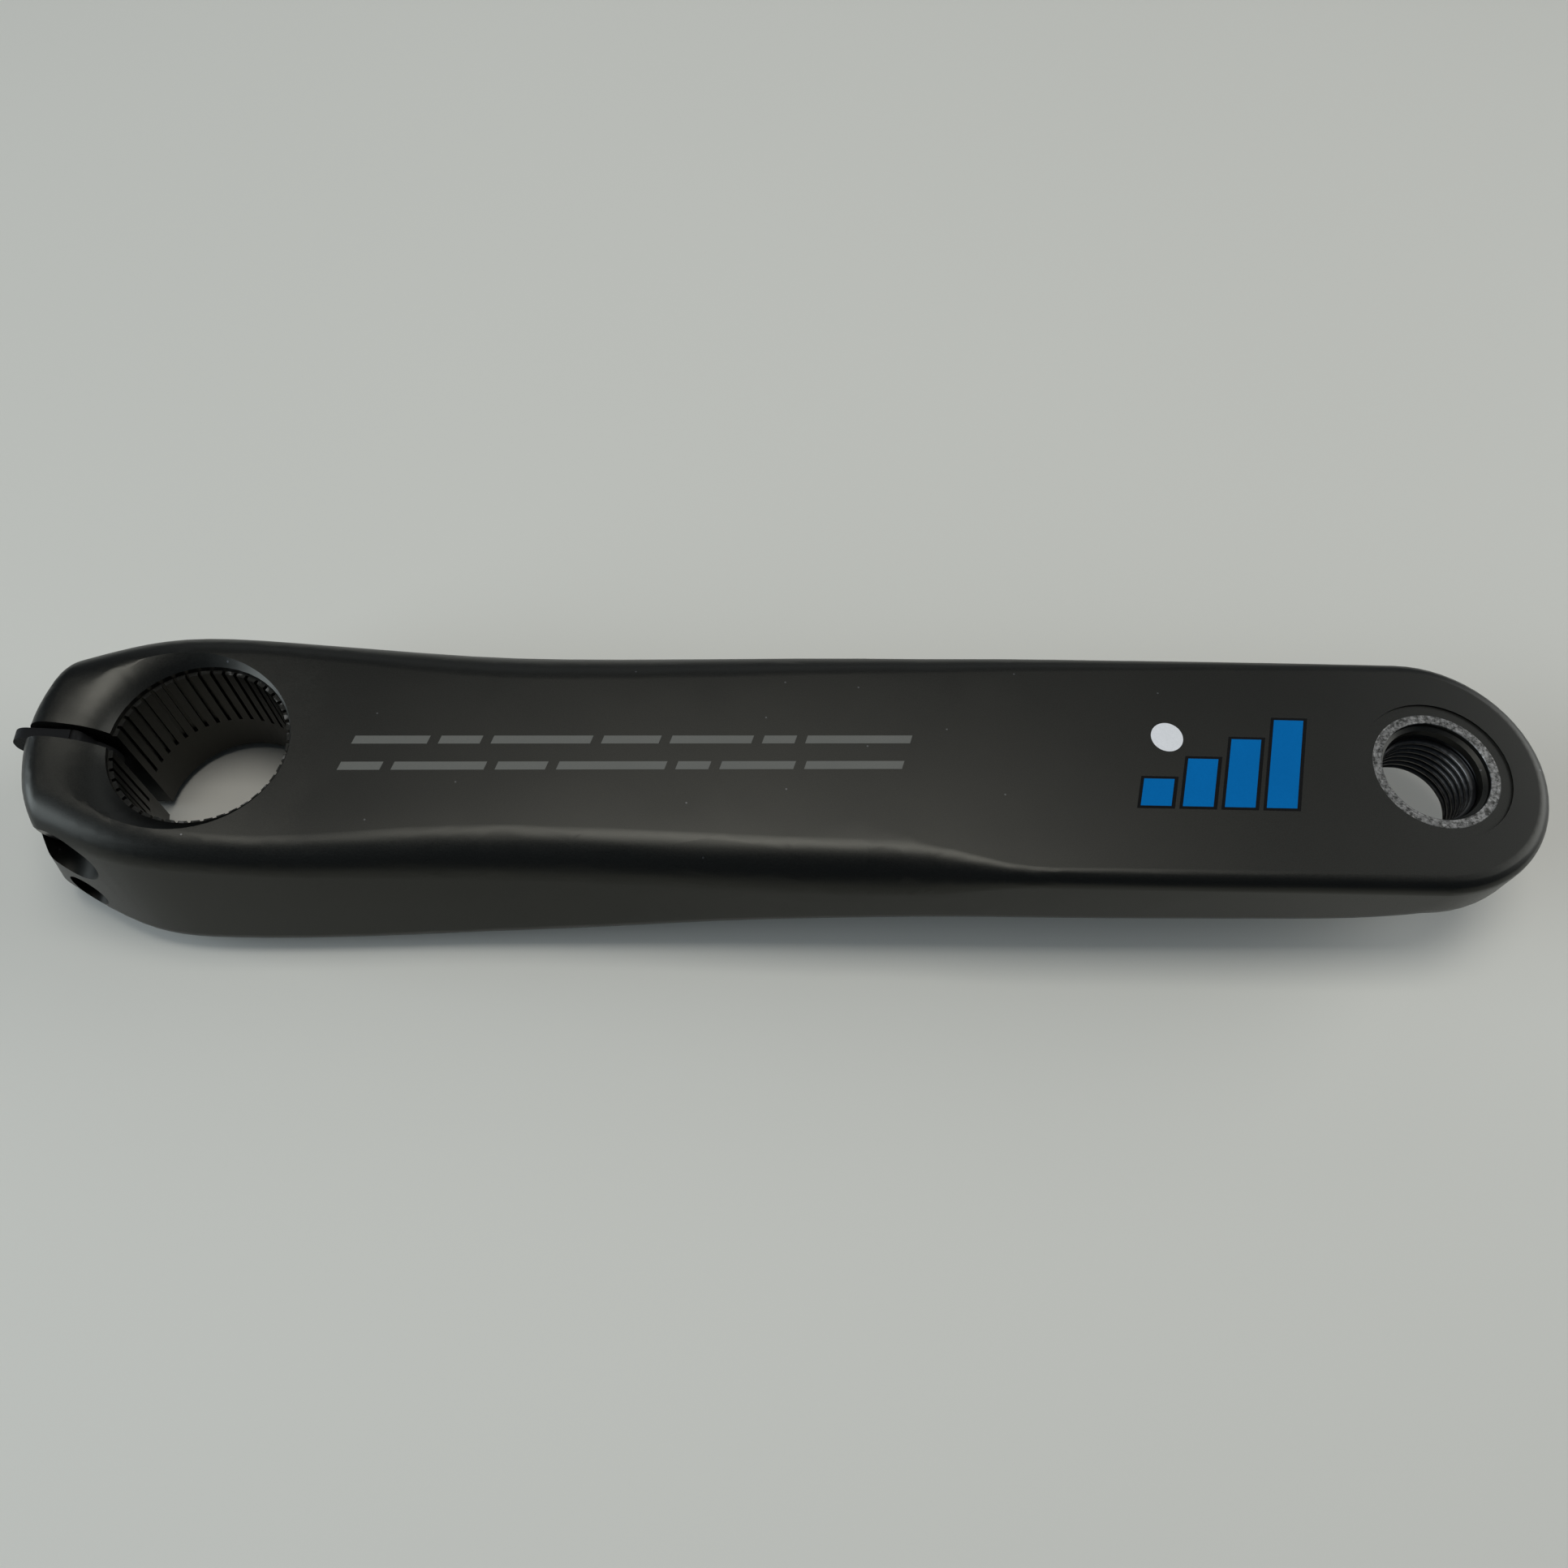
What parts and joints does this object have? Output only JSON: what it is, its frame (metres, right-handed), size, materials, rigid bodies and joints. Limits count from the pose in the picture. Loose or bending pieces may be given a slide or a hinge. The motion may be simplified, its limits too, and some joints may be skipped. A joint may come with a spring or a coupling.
{
  "type": "power meter crank arm",
  "caption": "Left bicycle crank arm with a split splined spindle clamp, a threaded pedal eye and a bonded power meter pod with a twist-off battery door.",
  "frame": {"origin": "on the spindle axis, in the plane of the inboard boss face", "axes": "+X along the arm to the pedal axis, +Z along the spindle axis, away from the bicycle, +Y completes the right-handed frame"},
  "size_m": [0.2151, 0.0426, 0.0253],
  "materials": {
    "anodised_arm": "dark grey satin anodised forging",
    "bolt_steel": "dark zinc steel",
    "stopper_plastic": "black moulded plastic",
    "pod_plastic": "black fine textured plastic",
    "bond_rubber": "cured black adhesive",
    "door_plastic": "black plastic",
    "seal_rubber": "dark red silicone",
    "cell_steel": "bright nickel plated steel",
    "spring_brass": "plated spring sheet",
    "board_laminate": "green solder mask",
    "shield_steel": "tinned steel sheet",
    "chip_plastic": "black epoxy package",
    "antenna_ceramic": "white ceramic",
    "led_plastic": "clear lens on white body",
    "pipe_plastic": "frosted clear plastic",
    "gauge_film": "amber film"
  },
  "bodies": {
    "arm": {"crank_arm": "anodised_arm", "pinch_bolt_upper": "bolt_steel", "pinch_bolt_lower": "bolt_steel", "pod_housing": "pod_plastic", "bond_gasket": "bond_rubber", "coin_cell": "cell_steel", "negative_contact": "spring_brass", "positive_contact": "spring_brass", "circuit_board": "board_laminate", "radio_shield": "shield_steel", "radio_chip": "chip_plastic", "motion_sensor": "chip_plastic", "chip_antenna": "antenna_ceramic", "status_led": "led_plastic", "light_pipe": "pipe_plastic", "strain_gauge": "gauge_film", "gauge_ribbon": "gauge_film"},
    "stopper": {"stopper_plate": "stopper_plastic"},
    "door": {"battery_door": "door_plastic", "door_seal": "seal_rubber"}
  },
  "joints": [
    {"name": "stopper_swing", "type": "hinge", "parent": "arm", "child": "stopper", "pos_m": [-0.0169, 0, 0.0154], "axis": [0, 1, 0], "range_deg": [0, 100]},
    {"name": "door_twist", "type": "hinge", "parent": "arm", "child": "door", "pos_m": [0.1, 0, 0], "axis": [0, 0, 1], "range_deg": [0, 40]}
  ]
}
